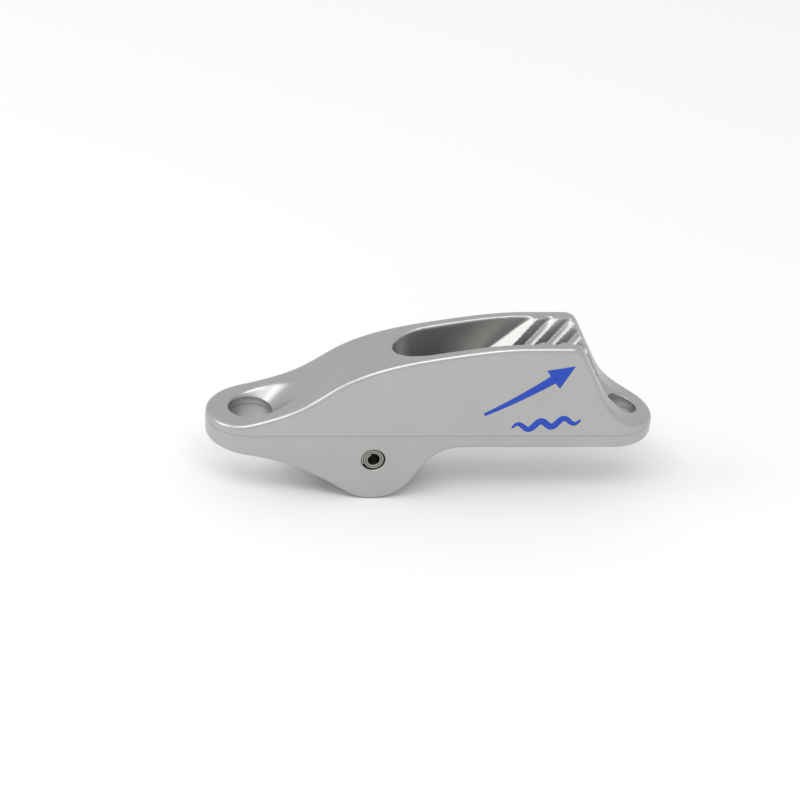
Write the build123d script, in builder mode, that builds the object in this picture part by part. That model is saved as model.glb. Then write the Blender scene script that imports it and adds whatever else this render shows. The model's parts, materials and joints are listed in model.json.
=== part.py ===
"""In-line rope cleat: a cast body with a V-shaped rope channel, a turning sheave and its axle pin.

Millimetres. The origin is where the front eye's axis crosses the level of the flat underside.
+X runs along the rope towards the tail eye, +Z is out of the rope channel and Y is across.
"""

from build123d import *
import math
import os

# ---- body, over everything ----
LENGTH = 95.0
WIDTH = 17.8  # at the parting line
FRONT_OVERHANG = 9.5  # nose tip to the front eye's axis
PARTING_Z = 3.0  # the two halves of the casting die meet here
DRAFT_UP = 2.5  # degrees, above the parting line
DRAFT_DOWN = 2.5  # degrees, below it
TOP_EDGE_R = 1.1
BOTTOM_EDGE_R = 0.6
BEYOND = 2.0  # outlines and cuts run this far past the body

# ---- side outline, as X and Z ----
NOSE_TOP_Z = 4.7
NOSE_BOTTOM_Z = -0.7
BACK = ((42.0, 22.2), (28.7, 19.4), (18.3, 15.0), (10.6, 9.8), (3.0, 6.7))  # from the jaws down to the nose
BELLY = ((1.65, -2.5), (11.0, -5.8))  # from the nose down to the keel
CROWN_Z = 23.9  # top of the jaws
CROWN_START_X = 58.0  # the top is level from here back
CROWN_CORNER_R = 3.0
REAR_SLOPE = 65.0  # degrees, the steep end behind the jaws
REAR_FOOT = (73.1, 13.2)  # the steep end starts to curve out to the tail here
TAIL_TOP = ((80.2, 5.45), (75.8, 8.8))
TAIL_END_Z = 3.6

# ---- eyes ----
FRONT_EYE_R = 4.5
FLARE_APEX = (-2.57, -1.9)  # X and Z of the tip of the cone that flares the front eye's upper mouth
FLARE_TILT = 15.5  # degrees, the cone's axis leans from +Z towards the channel
FLARE_HALF_ANGLE = 33.5  # degrees
FLARE_HEIGHT = 20.0
TAIL_EYE_X = 79.0
TAIL_EYE_R = 3.1
TAIL_GROOVE_R = 3.5
TAIL_GROOVE_FROM_X = 68.5  # the groove at the bottom of the V starts to widen and dip here
TAIL_GROOVE_END_Z = 8.8  # height of the groove's axis where it ends over the tail eye

# ---- keel, axle and sheave ----
AXLE_X = 25.7
AXLE_Z = -3.2
KEEL_R = 9.8
KEEL_LEAD_IN = 33.0  # degrees, slope where the underside runs on to the keel
KEEL_LEAD_OUT = 58.0  # degrees, slope where it leaves
KEEL_BLEND_R = 9.7
PIN_R = 2.5
PIN_LENGTH = 16.6
PIN_BORE_R = 1.15
PIN_STRIP = 0.5  # thickness of the strip that the pin is rolled from
PIN_MOUTH_Y = 8.38  # the axle hole flares at 45 degrees from here out
SHEAVE_R = 7.0
SHEAVE_WIDTH = 7.2
SHEAVE_ROOT_R = 4.9
SHEAVE_GROOVE_R = 2.5
SHEAVE_CLEARANCE = 0.05  # radial, on the pin
SLOT_WIDTH = 8.0
SLOT_R = 9.4
SLOT_REAR_X = 35.2

# ---- rope channel ----
CHANNEL_START_X = 29.0
CHANNEL_END_ROUND = 7.4  # how far the rounded end takes to reach full width
CHANNEL_HALF_WIDTH = 5.8  # at CHANNEL_TOP_Z
CHANNEL_TOP_Z = 25.0
CHANNEL_DRAFT = 3.5  # degrees
CHANNEL_FLOOR_Z = 12.2
FLOOR_START = (34.2, -2.2)  # X and Z where the floor rises off the sheave's slot
FLOOR_RISE = 48.0  # degrees, the floor's slope there
FLOOR_TOP_X = 53.0  # the floor is level from here to the tail
GROOVE_FROM_X = 45.0
GROOVE_R = 1.0  # at the bottom of the V

# ---- jaws ----
JAW_WALL_ANGLE = 18.0  # degrees from upright
JAW_LEAD = 9.0  # the face that leads in to the first rib starts this far before it
JAW_THICKNESS = 10.0  # from the ribs' crests into the casting
JAW_LENGTH = 30.0  # across the ribs, past the steep end
JAW_HALF_HEIGHT = 14.0  # along the ribs
FIRST_RIB = (54.7, 2.58, 17.9)  # a point on the first rib's crest, on the +Y wall
RIB_SLOPE = 46.5  # degrees, seen from the side
RIB_PITCH = 4.45  # along X
RIB_FALL = 2.6  # the part of each pitch that falls away towards the tail
RIB_DEPTH = 1.5
RIB_COUNT = 4
RIB_ROUND = 0.4

os.makedirs("parts", exist_ok=True)

nose_x = -FRONT_OVERHANG
tail_x = nose_x + LENGTH
middle_x = (nose_x + tail_x) / 2
axle = Vector(AXLE_X, AXLE_Z)


def slope(degrees):
    """Unit direction in the side outline's plane, `degrees` above +X."""
    return Vector(math.cos(math.radians(degrees)), math.sin(math.radians(degrees)))


# ---- jaws: two ribbed blocks that narrow the channel to a V ----
wall = math.radians(JAW_WALL_ANGLE)
down_wall = Vector(0, -math.sin(wall), -math.cos(wall))
into_channel = Vector(0, -math.cos(wall), math.sin(wall))
rib_angle = math.atan(math.tan(math.radians(RIB_SLOPE)) / math.cos(wall))
across_ribs = Vector(math.sin(rib_angle), 0, 0) + down_wall * math.cos(rib_angle)
along_ribs = across_ribs.cross(into_channel)
step = RIB_PITCH * math.sin(rib_angle)
fall = RIB_FALL * math.sin(rib_angle)

with BuildPart() as jaws:
    with BuildSketch(Plane(origin=FIRST_RIB, x_dir=across_ribs, z_dir=along_ribs)) as rib_section:
        with BuildLine():
            points = [(-JAW_LEAD, -JAW_THICKNESS)]
            for rib in range(RIB_COUNT):
                points.append((rib * step, 0))
                points.append((rib * step + fall, -RIB_DEPTH))
            points.append((RIB_COUNT * step, -RIB_DEPTH / 2))
            points.append((JAW_LENGTH, -RIB_DEPTH / 2))
            points.append((JAW_LENGTH, -JAW_THICKNESS))
            Polyline(*points, close=True)
        make_face()
        fillet(rib_section.vertices().group_by(Axis(FIRST_RIB, into_channel))[1:], RIB_ROUND)
    extrude(amount=JAW_HALF_HEIGHT, both=True)
    mirror(about=Plane.XZ)

# ---- the space the rope runs in, from the sheave up to the jaws ----
with BuildPart() as rope_space:
    with BuildSketch(Plane.XY.offset(CHANNEL_TOP_Z)):
        with BuildLine():
            end_x = CHANNEL_START_X + CHANNEL_END_ROUND
            out_x = tail_x + BEYOND
            reach = (CHANNEL_END_ROUND, CHANNEL_HALF_WIDTH)
            end = EllipticalCenterArc((end_x, 0), *reach, start_angle=90, arc_size=180)
            Polyline(end @ 1, (out_x, -CHANNEL_HALF_WIDTH), (out_x, CHANNEL_HALF_WIDTH), end @ 0)
        make_face()
    extrude(amount=-(CHANNEL_TOP_Z - AXLE_Z), taper=CHANNEL_DRAFT)
    with BuildSketch(Plane.XZ.offset(-WIDTH)):
        with BuildLine():
            floor_end = (FLOOR_TOP_X, CHANNEL_FLOOR_Z)
            floor = Spline(FLOOR_START, floor_end, tangents=[slope(FLOOR_RISE), slope(0)])
            above = CHANNEL_TOP_Z + BEYOND
            front = [(AXLE_X, above), (AXLE_X, AXLE_Z), floor @ 0]
            Polyline(floor_end, (out_x, CHANNEL_FLOOR_Z), (out_x, above), *front)
        make_face()
    extrude(amount=2 * WIDTH, mode=Mode.INTERSECT)
    add(jaws.part, mode=Mode.SUBTRACT)
    with BuildSketch(Plane.YZ.offset(GROOVE_FROM_X)):
        with Locations((0, CHANNEL_FLOOR_Z + GROOVE_R)):
            Circle(GROOVE_R)
    extrude(amount=TAIL_EYE_X - GROOVE_FROM_X)

# ---- body ----
with BuildPart() as body:
    with BuildSketch(Plane.XY.offset(PARTING_Z)) as plan:
        with Locations((middle_x, 0)):
            SlotOverall(LENGTH, WIDTH)
    extrude(amount=CROWN_Z + BEYOND - PARTING_Z, taper=DRAFT_UP)
    extrude(plan.sketch, amount=-(PARTING_Z - AXLE_Z + KEEL_R + BEYOND), taper=DRAFT_DOWN)
    with BuildSketch(Plane.XZ.offset(-WIDTH)) as side:
        with BuildLine():
            keel_from = axle + slope(-KEEL_LEAD_IN - 90) * KEEL_R
            keel_to = axle + slope(KEEL_LEAD_OUT - 90) * KEEL_R
            nose_bottom = (nose_x - BEYOND, NOSE_BOTTOM_Z)
            belly = Spline(nose_bottom, *BELLY, keel_from, tangents=[slope(-6), slope(-KEEL_LEAD_IN)])
            keel = ThreePointArc(belly @ 1, (AXLE_X, AXLE_Z - KEEL_R), keel_to)
            blend_rise = KEEL_BLEND_R * (1 - math.cos(math.radians(KEEL_LEAD_OUT)))
            heel_length = (-blend_rise - keel_to.Y) / math.sin(math.radians(KEEL_LEAD_OUT))
            heel = Line(keel @ 1, keel_to + slope(KEEL_LEAD_OUT) * heel_length)
            blend = JernArc(heel @ 1, heel % 1, KEEL_BLEND_R, -KEEL_LEAD_OUT)
            flat = Line(blend @ 1, (tail_x + BEYOND, 0))
            tail_end = Line(flat @ 1, (tail_x + BEYOND, TAIL_END_Z))
            up_rear = slope(180 - REAR_SLOPE)
            tail_top = Spline(tail_end @ 1, *TAIL_TOP, REAR_FOOT, tangents=[slope(170), up_rear])
            rear_run = (CROWN_Z - REAR_FOOT[1]) / math.tan(math.radians(REAR_SLOPE))
            rear = Line(tail_top @ 1, (REAR_FOOT[0] - rear_run, CROWN_Z))
            crown = Line(rear @ 1, (CROWN_START_X, CROWN_Z))
            nose_top = (nose_x - BEYOND, NOSE_TOP_Z)
            back = Spline(crown @ 1, *BACK, nose_top, tangents=[slope(180), slope(180)])
            Line(back @ 1, belly @ 0)
        make_face()
        fillet(side.vertices().sort_by(Axis.Y)[-2:].sort_by(Axis.X)[-1], CROWN_CORNER_R)
    extrude(amount=2 * WIDTH, mode=Mode.INTERSECT)
    long_edges = body.edges().filter_by(lambda edge: edge.bounding_box().size.X > 0.5)
    fillet(long_edges.filter_by(lambda edge: edge.center().Z > PARTING_Z + 0.5), TOP_EDGE_R)
    long_edges = body.edges().filter_by(lambda edge: edge.bounding_box().size.X > 0.5)
    fillet(long_edges.filter_by(lambda edge: edge.center().Z < 0.5), BOTTOM_EDGE_R)
    # rope channel, then the slot that the sheave turns in
    add(rope_space.part, mode=Mode.SUBTRACT)
    with BuildSketch(Plane.XZ.offset(-SLOT_WIDTH / 2)):
        with Locations(axle):
            Circle(SLOT_R)
        with Locations((AXLE_X - SLOT_R, AXLE_Z)):
            Rectangle(SLOT_REAR_X - AXLE_X + SLOT_R, KEEL_R + BEYOND, align=(Align.MIN, Align.MAX))
    extrude(amount=SLOT_WIDTH, mode=Mode.SUBTRACT)
    # front eye, and the flare that leads a wire up out of it
    Cylinder(FRONT_EYE_R, LENGTH, mode=Mode.SUBTRACT)
    flare_r = FLARE_HEIGHT * math.tan(math.radians(FLARE_HALF_ANGLE))
    with Locations((FLARE_APEX[0], 0, FLARE_APEX[1])):
        from_apex = (Align.CENTER, Align.CENTER, Align.MIN)
        Cone(0, flare_r, FLARE_HEIGHT, rotation=(0, FLARE_TILT, 0), align=from_apex, mode=Mode.SUBTRACT)
    # tail eye, and the groove that leads down to it
    with Locations((TAIL_EYE_X, 0)):
        Cylinder(TAIL_EYE_R, LENGTH, mode=Mode.SUBTRACT)
    with BuildSketch(Plane(origin=(TAIL_GROOVE_FROM_X, 0, CHANNEL_FLOOR_Z + GROOVE_R), z_dir=(1, 0, 0))):
        Circle(GROOVE_R)
    with BuildSketch(Plane(origin=(TAIL_EYE_X, 0, TAIL_GROOVE_END_Z), z_dir=(1, 0, -1))):
        Circle(TAIL_GROOVE_R)
    loft(mode=Mode.SUBTRACT)
    # axle hole, with a flared mouth on each side
    with BuildSketch(Plane.XZ.offset(-WIDTH)):
        with Locations(axle):
            Circle(PIN_R)
    extrude(amount=2 * WIDTH, mode=Mode.SUBTRACT)
    for mouth_y in (-PIN_MOUTH_Y, PIN_MOUTH_Y):
        with BuildSketch(Plane.XZ.offset(mouth_y)):
            with Locations(axle):
                Circle(PIN_R)
        extrude(amount=math.copysign(BEYOND / 2, mouth_y), taper=-45, mode=Mode.SUBTRACT)

# ---- sheave ----
with BuildPart() as sheave:
    with BuildSketch(Plane.XY.move(Location((AXLE_X, 0, AXLE_Z)))):
        bore_r = PIN_R + SHEAVE_CLEARANCE
        with Locations(((SHEAVE_R + bore_r) / 2, 0)):
            Rectangle(SHEAVE_R - bore_r, SHEAVE_WIDTH)
        with Locations((SHEAVE_ROOT_R + SHEAVE_GROOVE_R, 0)):
            Circle(SHEAVE_GROOVE_R, mode=Mode.SUBTRACT)
    revolve(axis=Axis((AXLE_X, 0, AXLE_Z), (0, 1, 0)))

# ---- axle pin, rolled from strip: its bore is one turn of a spiral, closed by a step ----
with BuildPart() as axle_pin:
    with BuildSketch(Plane(origin=(AXLE_X, -PIN_LENGTH / 2, AXLE_Z), x_dir=(1, 0, 0), z_dir=(0, 1, 0))):
        Circle(PIN_R)
        with BuildLine():
            turns = [eighth / 8 for eighth in range(9)]
            coil = Spline(*[slope(360 * turn) * (PIN_BORE_R + PIN_STRIP * turn) for turn in turns])
            Line(coil @ 1, coil @ 0)
        make_face(mode=Mode.SUBTRACT)
    extrude(amount=PIN_LENGTH)

for name, piece in (("body", body), ("sheave", sheave), ("axle_pin", axle_pin)):
    piece.part.label = name
    export_step(piece.part, f"parts/{name}.step")
    print(name, round(piece.part.volume), piece.part.is_valid, piece.part.bounding_box())
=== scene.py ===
# %% [markdown]
# # A rope cleat in satin aluminium
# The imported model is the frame: its nodes, its bodies and its hinge are fixed, and every piece
# made here is placed from it. All lengths are in metres, so a millimetre has its own name.

# %% The frame
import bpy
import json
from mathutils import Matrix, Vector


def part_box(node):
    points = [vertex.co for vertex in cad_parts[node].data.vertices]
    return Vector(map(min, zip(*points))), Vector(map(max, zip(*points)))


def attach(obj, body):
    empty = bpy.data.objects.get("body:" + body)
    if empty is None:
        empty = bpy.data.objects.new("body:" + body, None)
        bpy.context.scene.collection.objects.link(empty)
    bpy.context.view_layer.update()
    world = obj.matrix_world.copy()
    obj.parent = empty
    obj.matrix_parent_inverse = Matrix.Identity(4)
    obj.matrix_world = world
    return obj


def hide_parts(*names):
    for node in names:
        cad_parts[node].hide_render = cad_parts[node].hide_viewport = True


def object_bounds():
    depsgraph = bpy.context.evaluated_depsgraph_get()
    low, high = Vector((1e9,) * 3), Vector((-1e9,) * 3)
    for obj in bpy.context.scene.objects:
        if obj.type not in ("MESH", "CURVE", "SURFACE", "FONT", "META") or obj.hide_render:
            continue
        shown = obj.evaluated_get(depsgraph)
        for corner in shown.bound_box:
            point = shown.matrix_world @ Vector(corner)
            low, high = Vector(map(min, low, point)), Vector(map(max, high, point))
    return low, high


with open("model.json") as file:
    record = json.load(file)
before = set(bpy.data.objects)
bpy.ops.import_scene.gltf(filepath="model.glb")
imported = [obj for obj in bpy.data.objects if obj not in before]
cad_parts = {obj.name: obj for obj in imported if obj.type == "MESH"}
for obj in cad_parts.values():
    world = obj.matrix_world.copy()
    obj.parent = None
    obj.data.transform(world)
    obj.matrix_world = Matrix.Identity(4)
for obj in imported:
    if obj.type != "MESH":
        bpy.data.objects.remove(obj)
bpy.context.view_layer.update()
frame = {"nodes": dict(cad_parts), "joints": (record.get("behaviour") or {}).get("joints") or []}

import json
import math

import bmesh
import bpy
import numpy as np
from mathutils import Matrix, Vector

MM = 0.001

# %% [markdown]
# ## The camera
# A small fitting is seen from far off through a long lens, so that its far end looks hardly
# smaller than its near end. The camera stands in front of the cleat's side, a little towards the nose, and
# looks down on it. Three angles give its axes: the turn about Z, the tilt down, and a small roll.

# %% Camera
CAMERA_AZIMUTH = math.radians(-7.5)
CAMERA_ELEVATION = math.radians(31.5)
CAMERA_ROLL = math.radians(3.93)
VIEW_WIDTH = 169.0 * MM
AIM = Vector((31.6, 0, 6.5)) * MM
LENS = 200
SENSOR = 36


def camera_axes(azimuth, elevation, roll):
    """Right, up and back as columns: back points from the aim to the camera, and roll turns the other two."""
    back = Vector((
        math.sin(azimuth) * math.cos(elevation),
        -math.cos(azimuth) * math.cos(elevation),
        math.sin(elevation),
    ))
    level = Vector((math.cos(azimuth), math.sin(azimuth), 0))
    upright = back.cross(level)
    right = level * math.cos(roll) + upright * math.sin(roll)
    return Matrix((right, back.cross(right), back)).transposed()


camera_data = bpy.data.cameras.new("camera")
camera_data.lens = LENS
camera_data.sensor_width = SENSOR
camera_data.clip_start = 0.01
camera = bpy.data.objects.new("camera", camera_data)
bpy.context.scene.collection.objects.link(camera)
axes = camera_axes(CAMERA_AZIMUTH, CAMERA_ELEVATION, CAMERA_ROLL)
distance = VIEW_WIDTH * LENS / SENSOR
camera.matrix_world = Matrix.Translation(AIM + axes.col[2] * distance) @ axes.to_4x4()
bpy.context.scene.camera = camera
print("camera distance", round(distance, 3), "m")

# %% [markdown]
# ## Shader arithmetic
# A pattern is easier to read as an expression than as a chain of nodes. `Value` wraps one output
# socket, and adding or multiplying it makes the Math node. `Finish` starts a material and has one
# method, `node`, for everything that is not arithmetic.


# %% Value and Finish
class Value:
    """A socket that can be used in sums: each operator adds one Math node."""

    def __init__(self, finish, socket):
        self.finish = finish
        self.socket = socket

    def math(self, operation, first, second=0.0):
        inputs = {0: first, 1: second}
        return self.finish.node("ShaderNodeMath", {"operation": operation}, inputs)

    def __add__(self, other):
        return self.math("ADD", self, other)

    def __radd__(self, other):
        return self.math("ADD", other, self)

    def __sub__(self, other):
        return self.math("SUBTRACT", self, other)

    def __mul__(self, other):
        return self.math("MULTIPLY", self, other)

    def __rmul__(self, other):
        return self.math("MULTIPLY", other, self)

    def __pow__(self, other):
        return self.math("POWER", self, other)

    def __rpow__(self, other):
        return self.math("POWER", other, self)

    def sine(self):
        return self.math("SINE", self)


class Finish:
    """A material of one Principled shader: place is Object coordinates in mm, height is its Z."""

    def __init__(self, name, **plain):
        self.material = bpy.data.materials.new(name)
        self.material.use_nodes = True
        self.tree = self.material.node_tree
        self.shader = self.tree.nodes["Principled BSDF"]
        for socket, value in plain.items():
            self.shader.inputs[socket.replace("_", " ")].default_value = value
        place = self.node("ShaderNodeTexCoord", output="Object")
        self.place = self.node("ShaderNodeVectorMath", {"operation": "SCALE"}, {0: place, "Scale": 1 / MM})
        self.height = self.part_of(self.place, "Z")

    def node(self, kind, settings=None, inputs=None, output=0):
        """One node of the kind: settings first, then its inputs by name or number, linked or plain."""
        made = self.tree.nodes.new(kind)
        for name, value in (settings or {}).items():
            setattr(made, name, value)
        for name, value in (inputs or {}).items():
            if isinstance(value, Value):
                self.tree.links.new(value.socket, made.inputs[name])
            else:
                made.inputs[name].default_value = value
        return Value(self, made.outputs[output])

    def part_of(self, vector, letter):
        """One of a vector's three numbers, named X, Y or Z."""
        return self.node("ShaderNodeSeparateXYZ", inputs={"Vector": vector}, output=letter)

    def noise(self, per_mm, detail=3.0):
        """Smooth random values from 0 to 1, with `per_mm` lumps to the millimetre."""
        inputs = {"Vector": self.place, "Scale": per_mm, "Detail": detail}
        return self.node("ShaderNodeTexNoise", inputs=inputs)

    def blend(self, factor, first, second):
        """A colour that runs from first to second as factor runs from 0 to 1. Either may be a blend."""
        first, second = (colour if isinstance(colour, Value) else (*colour, 1) for colour in (first, second))
        return self.node("ShaderNodeMix", {"data_type": "RGBA"}, {0: factor, 6: first, 7: second}, output=2)

    def bump(self, height, depth):
        """A normal from height, where a height of 1 stands `depth` metres proud."""
        return self.node("ShaderNodeBump", inputs={"Strength": 1.0, "Distance": depth, "Height": height})

    def drive(self, socket, value):
        """Links the value to one of the shader's inputs."""
        self.tree.links.new(value.socket, self.shader.inputs[socket])


# %% [markdown]
# ## Cast and tumbled aluminium
# The body is die cast, tumbled with ceramic stones and given a satin silver finish. The metal is
# nearly even in colour, with a faint cloudiness. What marks it as tumbled is fine and shallow: an
# orange-peel of small pits that widens each highlight. So the colour hardly varies, the roughness
# varies a little, and two sizes of shallow bump do the rest. Where the two halves of the die met
# there is a fine witness line: a bell curve of the height above that level, duller than the rest
# and sunk a few hundredths of a millimetre. Its colour is darker too, which is painted shade in that crease.


# %% Body finish
PARTING_Z = 3.0 * MM
LINE_WIDTH = 0.20 * MM
LINE_DEPTH = 4
PEEL_DEPTH = 0.006 * MM
METAL_DULL, METAL_CLEAR = (0.425, 0.425, 0.415), (0.475, 0.475, 0.465)
# The witness line's darker colour is painted shade in the crease at the parting line.
CREASE_SHADE_COLOUR = (0.30, 0.30, 0.29)


def cast_aluminium():
    finish = Finish("cast_aluminium", Metallic=0.9)
    cloud = finish.noise(0.12, detail=4.0)
    peel = finish.noise(1.1, detail=2.0)
    grain = finish.noise(5.0, detail=2.0)
    above_line = (finish.height - PARTING_Z / MM) * (MM / LINE_WIDTH)
    line = math.e ** (-1 * above_line * above_line)
    metal = finish.blend(cloud, METAL_DULL, METAL_CLEAR)
    # Painted shade: the base colour darkens along the witness line's crease.
    finish.drive("Base Color", finish.blend(line * 0.45, metal, CREASE_SHADE_COLOUR))
    finish.drive("Roughness", 0.30 + cloud * 0.06 + grain * 0.06 + line * 0.12)
    finish.drive("Normal", finish.bump(peel * 0.7 + grain * 0.3 - line * LINE_DEPTH, PEEL_DEPTH))
    return finish.material


body_finish = cast_aluminium()
print("body finish", len(body_finish.node_tree.nodes), "nodes")

# %% [markdown]
# ## Turned acetal, rolled steel and printing ink
# The sheave is turned from black acetal, so fine rings run round its axle. They come from a sine
# of the distance from the axle, which a noise shifts a little, because no tool feeds quite evenly.
# The pin is spring strip, slightly cloudy in tone. The ink is a pad print: a thin film, slightly
# uneven in tone, and glossier where it lies thicker.


# %% Finishes of the small pieces
AXLE = Vector(frame["joints"][0]["pos_m"])
RINGS_PER_MM = 38 / (2 * math.pi)
TOOL_MARK = 0.004 * MM
ACETAL_DARK, ACETAL_PALE = (0.014, 0.014, 0.016), (0.026, 0.026, 0.028)
STEEL_DARK, STEEL_PALE = (0.27, 0.26, 0.24), (0.40, 0.39, 0.36)
INK_THICK, INK_THIN = (0.012, 0.052, 0.40), (0.020, 0.074, 0.48)


def radius_in_mm(finish):
    """The distance from the axle's line, from the X and Z parts of the place."""
    x = finish.part_of(finish.place, "X") - AXLE.x / MM
    z = finish.height - AXLE.z / MM
    return (x * x + z * z) ** 0.5


def acetal():
    finish = Finish("black_acetal", Specular_IOR_Level=0.45)
    haze = finish.noise(0.6)
    rings = (radius_in_mm(finish) * (2 * math.pi * RINGS_PER_MM) + haze * 3).sine()
    finish.drive("Base Color", finish.blend(haze, ACETAL_DARK, ACETAL_PALE))
    finish.drive("Roughness", 0.28 + haze * 0.14 + rings * 0.03)
    finish.drive("Normal", finish.bump(rings * 0.5 + haze, TOOL_MARK))
    return finish.material


def spring_steel():
    finish = Finish("spring_steel", Metallic=1.0)
    cloud = finish.noise(3.0, detail=2.0)
    finish.drive("Base Color", finish.blend(cloud, STEEL_DARK, STEEL_PALE))
    finish.drive("Roughness", 0.28 + cloud * 0.15)
    finish.drive("Normal", finish.bump(cloud, TOOL_MARK))
    return finish.material


def printing_ink():
    finish = Finish("blue_ink", Specular_IOR_Level=0.3)
    film = finish.noise(1.6)
    finish.drive("Base Color", finish.blend(film, INK_THICK, INK_THIN))
    finish.drive("Roughness", 0.40 + film * 0.14)
    finish.drive("Normal", finish.bump(film, TOOL_MARK))
    return finish.material


# %% [markdown]
# ## The body
# Every edge of a tumbled casting is soft. The frame's solid has sharp rims round its channel and
# holes, so the visible body is a copy of it, turned into an even net of small faces and relaxed
# until those rims are round. Large shapes stay where they are, because the relaxing step is
# followed by a slightly longer step back, which returns what is larger than a few faces. The lips
# of the rope channel and of both eyes are rounder still, so that they don't cut the rope: along
# them there are extra passes with no step back.

# %% Body mesh
VOXEL = 0.22 * MM
RELAX_PASSES = 14
BODY_TRIANGLES = 190000
RIM_PASSES = 22
RIM_DEPTH = 1.3 * MM
RIM_HALF_WIDTH = 7.7 * MM
RIM_SIDE_FADE = 1.5 * MM
RIM_START_X = -4 * MM
RIM_END_X = 83 * MM
RIM_END_FADE = 4 * MM
SLICE = 0.5 * MM


def merged_copy(node, name):
    """The node's loose triangles as one joined mesh, in a new object at the origin."""
    mesh = frame["nodes"][node].data.copy()
    mesh.name = name
    mesh.materials.clear()
    net = bmesh.new()
    net.from_mesh(mesh)
    bmesh.ops.remove_doubles(net, verts=net.verts, dist=0.001 * MM)
    net.to_mesh(mesh)
    net.free()
    piece = bpy.data.objects.new(name, mesh)
    bpy.context.scene.collection.objects.link(piece)
    return piece


def apply_modifiers(piece):
    """Replaces the piece's mesh by the one that its modifiers give, and removes them."""
    bpy.context.view_layer.update()
    shown = piece.evaluated_get(bpy.context.evaluated_depsgraph_get())
    mesh = bpy.data.meshes.new_from_object(shown)
    piece.modifiers.clear()
    piece.data = mesh


def relax(points, edges, passes, pull=0.5, give_back=-0.52):
    """Each pass moves a point by `pull` of the way to the mean of its neighbours, then by `give_back`."""
    count = len(points)
    one, two = edges[:, 0], edges[:, 1]
    neighbours = np.bincount(one, minlength=count) + np.bincount(two, minlength=count)
    for step in [pull, give_back] * passes:
        total = np.empty_like(points)
        for axis in range(3):
            values = points[:, axis]
            total[:, axis] = np.bincount(one, values[two], count) + np.bincount(two, values[one], count)
        points = points + step * (total / neighbours[:, None] - points)
    return points


def fade(distance, width):
    """From 0 at no distance to 1 at width, as 3 t^2 - 2 t^3, where t is distance over width."""
    t = np.clip(distance / width, 0, 1)
    return t * t * (3 - 2 * t)


def near_rim(points):
    """1 along the upper rims of the channel and both eyes and 0 away from them, with a smooth edge between.

    The top's height at each X is the highest point in a thin slice there, and a point counts by a
    bell curve of its depth below that. It fades out towards the cleat's sides and the rim's ends.
    """
    slices = np.floor((points[:, 0] - points[:, 0].min()) / SLICE).astype(int)
    top = np.full(slices.max() + 1, -np.inf)
    np.maximum.at(top, slices, points[:, 2])
    weight = np.exp(-(((top[slices] - points[:, 2]) / RIM_DEPTH) ** 2))
    beside = fade(RIM_HALF_WIDTH - np.abs(points[:, 1]), RIM_SIDE_FADE)
    along = fade(points[:, 0] - RIM_START_X, RIM_END_FADE) * fade(RIM_END_X - points[:, 0], RIM_END_FADE)
    return weight * beside * along


def points_of(mesh):
    """The mesh's points as rows of X, Y and Z."""
    points = np.empty(len(mesh.vertices) * 3)
    mesh.vertices.foreach_get("co", points)
    return points.reshape(-1, 3)


def place_points(mesh, points):
    """Puts the mesh's points at the rows of X, Y and Z."""
    mesh.vertices.foreach_set("co", points.ravel())
    mesh.update()


def soften(mesh, passes):
    """Relaxes a mesh, the channel's rim more than the rest."""
    edges = np.empty(len(mesh.edges) * 2, np.int32)
    mesh.edges.foreach_get("vertices", edges)
    edges = edges.reshape(-1, 2)
    points = points_of(mesh)
    rim = near_rim(points)[:, None]
    points = relax(points, edges, passes)
    points += rim * (relax(points, edges, RIM_PASSES, give_back=0) - points)
    place_points(mesh, points)


def keep_inside(mesh, low, high):
    """Moves each point that lies outside the box to the nearest place in it."""
    place_points(mesh, np.clip(points_of(mesh), np.array(low), np.array(high)))


cast_body = merged_copy("body", "cast_body")
remesh = cast_body.modifiers.new("even_net", "REMESH")
remesh.mode = "VOXEL"
remesh.voxel_size = VOXEL
apply_modifiers(cast_body)
print("even net", len(cast_body.data.polygons), "faces")
soften(cast_body.data, RELAX_PASSES)
thin = cast_body.modifiers.new("fewer_faces", "DECIMATE")
thin.ratio = min(1.0, BODY_TRIANGLES / (2 * len(cast_body.data.polygons)))
apply_modifiers(cast_body)
keep_inside(cast_body.data, *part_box("body"))
cast_body.data.shade_smooth()
cast_body.data.materials.append(body_finish)
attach(cast_body, "cleat")
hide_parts("body")
print("cast body", len(cast_body.data.polygons), "faces")

# %% [markdown]
# ## Swept pieces
# The sheave, the pin and the printed mark are all one closed outline carried along a path, so one
# function turns a grid of points into each of them. Rows are the outline's places along the path
# and columns go round the outline. The enclosed volume says whether the faces point outwards.


# %% Swept grid to piece
CORNER_STEPS = 6


def signed_volume(points, quads):
    """Sum over the faces of the volume between each one and the origin, positive if faces point out."""
    a, b, c, d = (points[quads[:, corner]] for corner in range(4))
    return (np.cross(a, b) * c + np.cross(a, c) * d).sum() / 6


def swept(name, grid, closed_path, body, finish, replaces=()):
    """A piece from a grid of points in metres: rows along the path, columns round the outline."""
    rows, columns = grid.shape[:2]
    points = grid.reshape(-1, 3)
    number = np.arange(rows * columns).reshape(rows, columns)
    if closed_path:
        number = np.vstack([number, number[:1]])
    across = np.roll(number, -1, axis=1)
    quads = np.stack([number[:-1], across[:-1], across[1:], number[1:]], axis=-1).reshape(-1, 4)
    faces = quads.tolist()
    if not closed_path:
        faces += [number[0, ::-1].tolist(), number[-1].tolist()]
    if signed_volume(points - points.mean(axis=0), quads) < 0:
        faces = [face[::-1] for face in faces]
    mesh = bpy.data.meshes.new(name)
    mesh.from_pydata(points.tolist(), [], faces)
    mesh.shade_smooth()
    mesh.materials.append(finish)
    piece = bpy.data.objects.new(name, mesh)
    bpy.context.scene.collection.objects.link(piece)
    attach(piece, body)
    if replaces:
        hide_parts(*replaces)
    print(name, len(faces), "faces")


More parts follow.
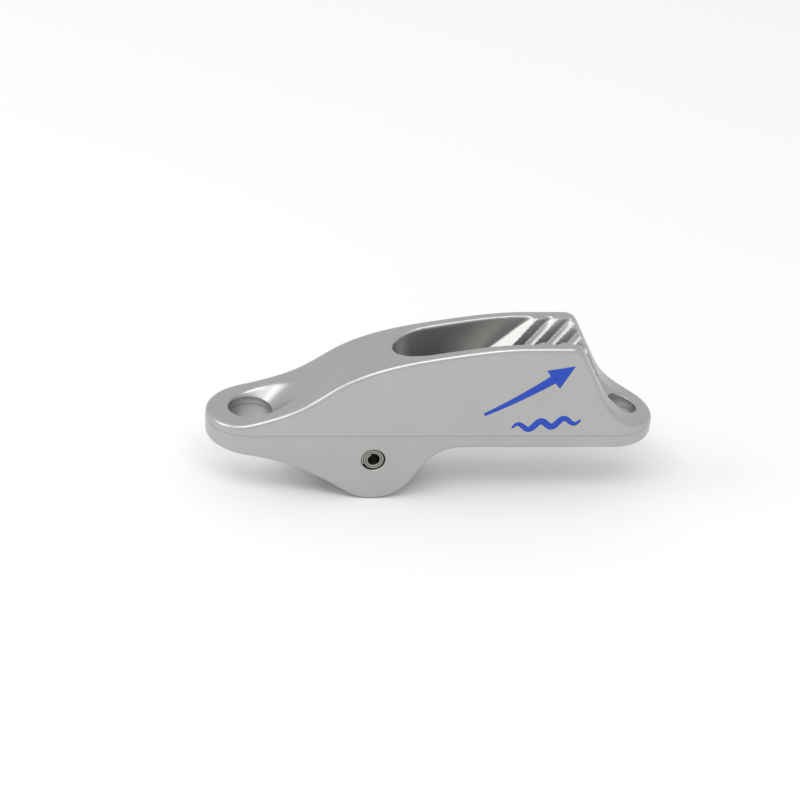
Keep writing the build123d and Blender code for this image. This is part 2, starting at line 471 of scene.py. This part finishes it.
def rounded(corners, reach):
    """A closed outline round a convex polygon, with each corner cut by a curve.

    The curve starts and ends `reach` from the corner on its two sides. Its place is the corner plus
    (1 - t)^2 of the way back along one side and t^2 of the way on along the other.
    """
    corners = np.array(corners, float)
    outline = []
    for before, corner, after in zip(np.roll(corners, 1, 0), corners, np.roll(corners, -1, 0)):
        to_before = (before - corner) / np.linalg.norm(before - corner)
        to_after = (after - corner) / np.linalg.norm(after - corner)
        t = np.linspace(0, 1, CORNER_STEPS)[:, None]
        outline.append(corner + reach * ((1 - t) ** 2 * to_before + t**2 * to_after))
    return np.vstack(outline)


# %% [markdown]
# ## The sheave
# The rope turns round this little grooved wheel before it rises to the jaws. It is turned on a
# lathe, so it is one outline spun round the axle: the bore, the two flanks, a rounded rim on each
# side, and an arc for the groove that the rope sits in. Its width and radius come from the frame.

# %% Sheave
sheave_low, sheave_high = (np.array(corner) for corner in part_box("sheave"))
SHEAVE_R = (sheave_high[2] - sheave_low[2]) / 2
HALF_WIDTH = (sheave_high[1] - sheave_low[1]) / 2
BORE_R = 2.55 * MM
GROOVE_R = 2.5 * MM
GROOVE_CENTRE_R = 7.4 * MM
RIM_ROUND = 0.35 * MM
BORE_CHAMFER = 0.3 * MM


def sheave_outline():
    """Radius and Y, once round: up one flank, over its rim, through the groove, and back down."""
    lip = math.acos((GROOVE_CENTRE_R - SHEAVE_R + RIM_ROUND) / GROOVE_R)
    turn = np.linspace(-lip, lip, 41)
    groove = np.column_stack([GROOVE_CENTRE_R - GROOVE_R * np.cos(turn), GROOVE_R * np.sin(turn)])
    quarter = np.linspace(0, math.pi / 2, 9)
    rim = np.column_stack([
        SHEAVE_R - RIM_ROUND + RIM_ROUND * np.sin(quarter),
        -HALF_WIDTH + RIM_ROUND - RIM_ROUND * np.cos(quarter),
    ])
    lip_y = groove[0, 1]
    land = [[SHEAVE_R, lip_y - RIM_ROUND * 0.6], [SHEAVE_R - RIM_ROUND * 0.3, lip_y - RIM_ROUND * 0.15]]
    flank = [[BORE_R, -HALF_WIDTH + BORE_CHAMFER], [BORE_R + BORE_CHAMFER, -HALF_WIDTH]]
    half = np.vstack([flank, rim, land])
    return np.vstack([half, groove, half[::-1] * (1, -1)])


def lathe(outline, turns):
    """The outline's radius spun about the axle's line, which runs along Y."""
    radius, y = outline[None, :, 0], outline[None, :, 1]
    turns = turns[:, None]
    x = AXLE.x + radius * np.cos(turns)
    z = AXLE.z + radius * np.sin(turns)
    return np.stack([x, np.broadcast_to(AXLE.y + y, x.shape), z], axis=-1)


spin = np.linspace(0, 2 * math.pi, 192, endpoint=False)
swept("turned_sheave", lathe(sheave_outline(), spin), True, "sheave_body", acetal(), ("sheave",))

# %% [markdown]
# ## The coiled pin
# The axle is a coiled spring pin: a strip of steel rolled up by about two and a quarter turns. It
# is squeezed a little as it is pressed in, and its spring holds it in the casting. Seen end on it
# is a spiral with a small step at its seam and a hole down the middle. So the strip's rounded
# section, which is as long as the pin, is carried along the spiral r = a + b * angle.

# %% Coiled pin
pin_low, pin_high = (np.array(corner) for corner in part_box("axle_pin"))
PIN_R = (pin_high[2] - pin_low[2]) / 2
PIN_HALF_LENGTH = (pin_high[1] - pin_low[1]) / 2
STRIP_ROUND = 0.15 * MM
STRIP = 0.40 * MM
COIL_PITCH = 0.45 * MM
COIL_TURNS = 2.25
SEAM_ANGLE = math.radians(205)

half_strip = STRIP / 2
ends = [(-half_strip, -PIN_HALF_LENGTH), (half_strip, -PIN_HALF_LENGTH)]
section = rounded(ends + [(half_strip, PIN_HALF_LENGTH), (-half_strip, PIN_HALF_LENGTH)], STRIP_ROUND)
angle = np.linspace(-2 * math.pi * COIL_TURNS, 0, 220)[:, None]
coil_r = PIN_R - half_strip + COIL_PITCH * angle / (2 * math.pi) + section[None, :, 0]
coil_x = AXLE.x + coil_r * np.cos(angle + SEAM_ANGLE)
coil_z = AXLE.z + coil_r * np.sin(angle + SEAM_ANGLE)
coil_y = np.broadcast_to(section[None, :, 1], coil_r.shape)
coil = np.stack([coil_x, coil_y, coil_z], axis=-1)
swept("coiled_pin", coil, False, "cleat", spring_steel(), ("axle_pin",))

# %% [markdown]
# ## The printed mark
# A pad print on the near side, below the jaws. The shapes are generic: an arrow that rises the way
# the rope is pulled, with a wavy line under it. Each is a ribbon that stands 0.03 mm proud of the
# drafted side and reaches a little into it. The side's distance from the middle is that at the
# parting line, less the height above it times the tangent of the draft. The arrow's line bows
# upwards by a square term, its shaft widens steadily and its head narrows to a point. The wave's
# line is a sine on a slope.

# %% Printed mark
SIDE_Y = 8.9 * MM
DRAFT = math.tan(math.radians(2.5))
INK_PROUD = 0.03 * MM
INK_SUNK = 0.10 * MM
ARROW_START, ARROW_RUN, ARROW_BOW = (48.5, 8.2), (18.5, 9.4), 2.2
ARROW_NECK = 0.76
WAVE_START, WAVE_RUN, WAVE_HEIGHT, WAVE_CRESTS = (54.5, 5.0), (14.5, 2.0), 0.8, 3


def ribbon(name, middle, half_width):
    """A ribbon on the near side: middle is its line in X and Z, and half_width its reach each side."""
    along = np.gradient(middle, axis=0)
    along /= np.linalg.norm(along, axis=1)[:, None]
    normal = np.column_stack([-along[:, 1], along[:, 0]])
    sides = np.linspace(-1, 1, 9)
    spread = (half_width[:, None] * sides)[:, :, None]
    face = middle[:, None] + spread * normal[:, None]
    outline = np.concatenate([face, face[:, ::-1]], axis=1)
    proud = np.where(np.arange(outline.shape[1]) < len(sides), INK_PROUD, -INK_SUNK)
    x, z = outline[..., 0], outline[..., 1]
    y = -(SIDE_Y - (z - PARTING_Z) * DRAFT) - proud
    swept(name, np.stack([x, y, z], axis=-1), False, "cleat", ink)


ink = printing_ink()
t = np.linspace(0, 1, 160)
arrow_x = ARROW_START[0] + ARROW_RUN[0] * t
arrow_z = ARROW_START[1] + ARROW_RUN[1] * t + ARROW_BOW * t * t
arrow_line = np.column_stack([arrow_x, arrow_z]) * MM
shaft, head = 0.35 + 0.85 * t, 2.6 * (1 - t) / (1 - ARROW_NECK) + 0.02
arrow_width = np.where(t < ARROW_NECK, shaft, head) * MM
ribbon("mark_arrow", arrow_line, arrow_width)
wave_x = WAVE_START[0] + WAVE_RUN[0] * t
wave_z = WAVE_START[1] + WAVE_RUN[1] * t + WAVE_HEIGHT * np.sin(2 * math.pi * WAVE_CRESTS * t)
wave_line = np.column_stack([wave_x, wave_z]) * MM
wave_width = (0.12 + 0.62 * np.sin(math.pi * t) ** 0.5) * MM
ribbon("mark_wave", wave_line, wave_width)

# %% [markdown]
# ## Floor and light
# The cleat stands on a white floor in a white surround. Satin metal shows what it mirrors. The
# side mirrors the floor and the top mirrors the surround behind. Only the rounded edges turn far
# enough to mirror the long soft box above and in front, which draws them as thin bright lines, so
# that box's place decides where those lines fall. The second box, on the nose's side, is mirrored
# by the steep faces that look that way: the ribs, the face that leads in to them and the flare.

# %% Floor
FLOOR_SIZE = 6.0
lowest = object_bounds()[0].z
half = FLOOR_SIZE / 2
corners = [(-half, -half, lowest), (half, -half, lowest), (half, half, lowest), (-half, half, lowest)]
floor_mesh = bpy.data.meshes.new("floor")
floor_mesh.from_pydata(corners, [], [(0, 1, 2, 3)])
floor_finish = Finish("floor_paint", Base_Color=(0.9, 0.9, 0.9, 1), Roughness=0.8)
floor_mesh.materials.append(floor_finish.material)
floor = bpy.data.objects.new("floor", floor_mesh)
bpy.context.scene.collection.objects.link(floor)
print("floor at", round(lowest / MM, 2), "mm")


# %% Lights
def soft_box(name, place, width, height, power):
    """A flat area light, its width level, that faces the cleat's middle."""
    data = bpy.data.lights.new(name, "AREA")
    data.shape = "RECTANGLE"
    data.size = width
    data.size_y = height
    data.energy = power
    lamp = bpy.data.objects.new(name, data)
    bpy.context.scene.collection.objects.link(lamp)
    lamp.location = place
    lamp.rotation_euler = (AIM - Vector(place)).to_track_quat("-Z", "Y").to_euler()


soft_box("key", (-0.10, -0.42, 0.75), 0.80, 0.26, 2.6)
soft_box("nose_side", (-0.72, -0.06, 0.56), 0.42, 0.34, 1.5)
world = bpy.data.worlds.new("studio")
world.use_nodes = True
bpy.context.scene.view_settings.view_transform = "Standard"
surround = world.node_tree.nodes["Background"]
surround.inputs["Color"].default_value = (1, 1, 1, 1)
surround.inputs["Strength"].default_value = 0.80
bpy.context.scene.world = world
